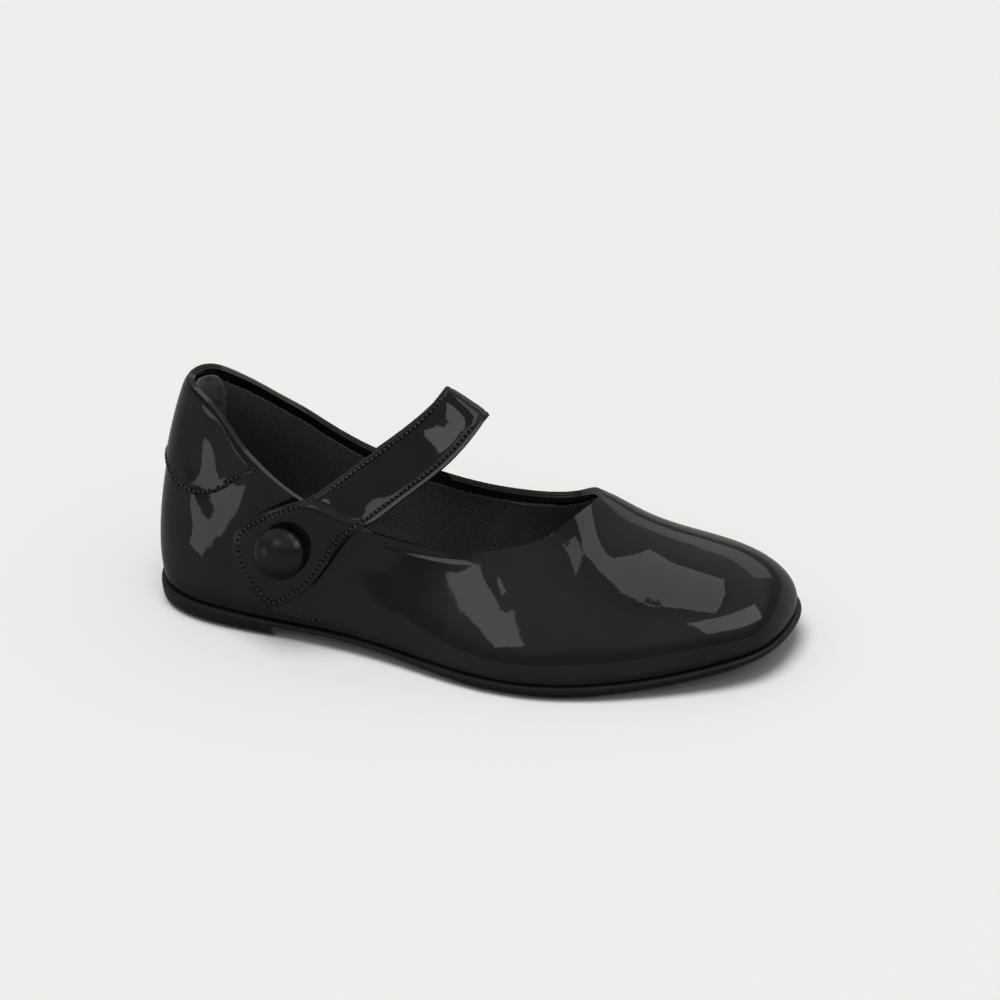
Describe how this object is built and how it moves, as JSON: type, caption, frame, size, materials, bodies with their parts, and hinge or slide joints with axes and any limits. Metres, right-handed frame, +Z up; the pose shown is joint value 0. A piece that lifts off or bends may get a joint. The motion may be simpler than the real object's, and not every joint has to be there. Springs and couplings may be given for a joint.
{
  "type": "ballet flat",
  "caption": "Child's bar-strap ballet flat for the right foot, in black patent, with a button-ended bar, a dipping heel panel and a thin moulded sole with a low heel.",
  "frame": {"origin": "on the ground under the middle of the shoe's bounding box", "axes": "+X from heel to toe, +Y to the medial side, +Z up"},
  "size_m": [0.1728, 0.0708, 0.0612],
  "materials": {
    "patent_leather": "glossy black patent",
    "sole_rubber": "satin black",
    "footbed_cloth": "matt black twill",
    "button_plastic": "polished black"
  },
  "bodies": {
    "root": {"upper": "patent_leather", "heel_panel": "patent_leather", "strap": "patent_leather", "outsole": "sole_rubber", "insole": "footbed_cloth", "button": "button_plastic"}
  },
  "joints": []
}
